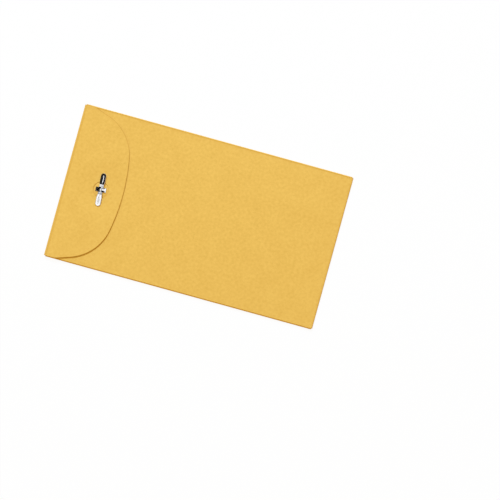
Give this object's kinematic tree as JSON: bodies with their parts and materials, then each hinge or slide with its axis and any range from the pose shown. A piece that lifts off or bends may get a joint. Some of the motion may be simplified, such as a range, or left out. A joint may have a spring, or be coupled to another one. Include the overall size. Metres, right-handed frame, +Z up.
{
  "type": "clasp envelope",
  "caption": "Kraft paper envelope, open at one short end, with a rounded flap that swings on its fold and a metal clasp whose prongs bend up through the flap's hole.",
  "frame": {"origin": "middle of the address side, which lies flat on the table", "axes": "+X along the envelope from the flap's fold to the bottom fold, +Y across it, +Z up through the back"},
  "size_m": [0.1396, 0.0794, 0.002],
  "materials": {
    "kraft_paper": "matte",
    "kraft_patch": "matte",
    "dry_gum": "satin",
    "tinned_steel": "polished"
  },
  "bodies": {
    "pocket": {"front_panel": "kraft_paper", "back_panel": "kraft_paper", "bottom_crease": "kraft_paper", "side_crease_left": "kraft_paper", "side_crease_right": "kraft_paper", "side_flap_left": "kraft_paper", "side_flap_right": "kraft_paper", "seam_glue_left": "dry_gum", "seam_glue_right": "dry_gum", "flap_crease": "kraft_paper", "clasp_patch": "kraft_patch", "clasp_base": "tinned_steel"},
    "flap": {"closure_flap": "kraft_paper", "flap_gum_left": "dry_gum", "flap_gum_right": "dry_gum", "eyelet_patch": "kraft_patch"},
    "prong_left": {"clasp_prong_left": "tinned_steel"},
    "prong_right": {"clasp_prong_right": "tinned_steel"}
  },
  "joints": [
    {"name": "flap_swing", "type": "hinge", "parent": "pocket", "child": "flap", "pos_m": [-0.06908, 0, 0.00076], "axis": [0, -1, 0], "range_deg": [0, 179.9], "deforming": ["flap_crease"]},
    {"name": "prong_left_bend", "type": "hinge", "parent": "pocket", "child": "prong_left", "pos_m": [-0.0508, -0.0025, 0.00173], "axis": [-0.9981, -0.061, 0], "range_deg": [0, 110]},
    {"name": "prong_right_bend", "type": "hinge", "parent": "pocket", "child": "prong_right", "pos_m": [-0.0511, 0.0025, 0.00173], "axis": [0.9981, 0.061, 0], "range_deg": [0, 110]}
  ]
}
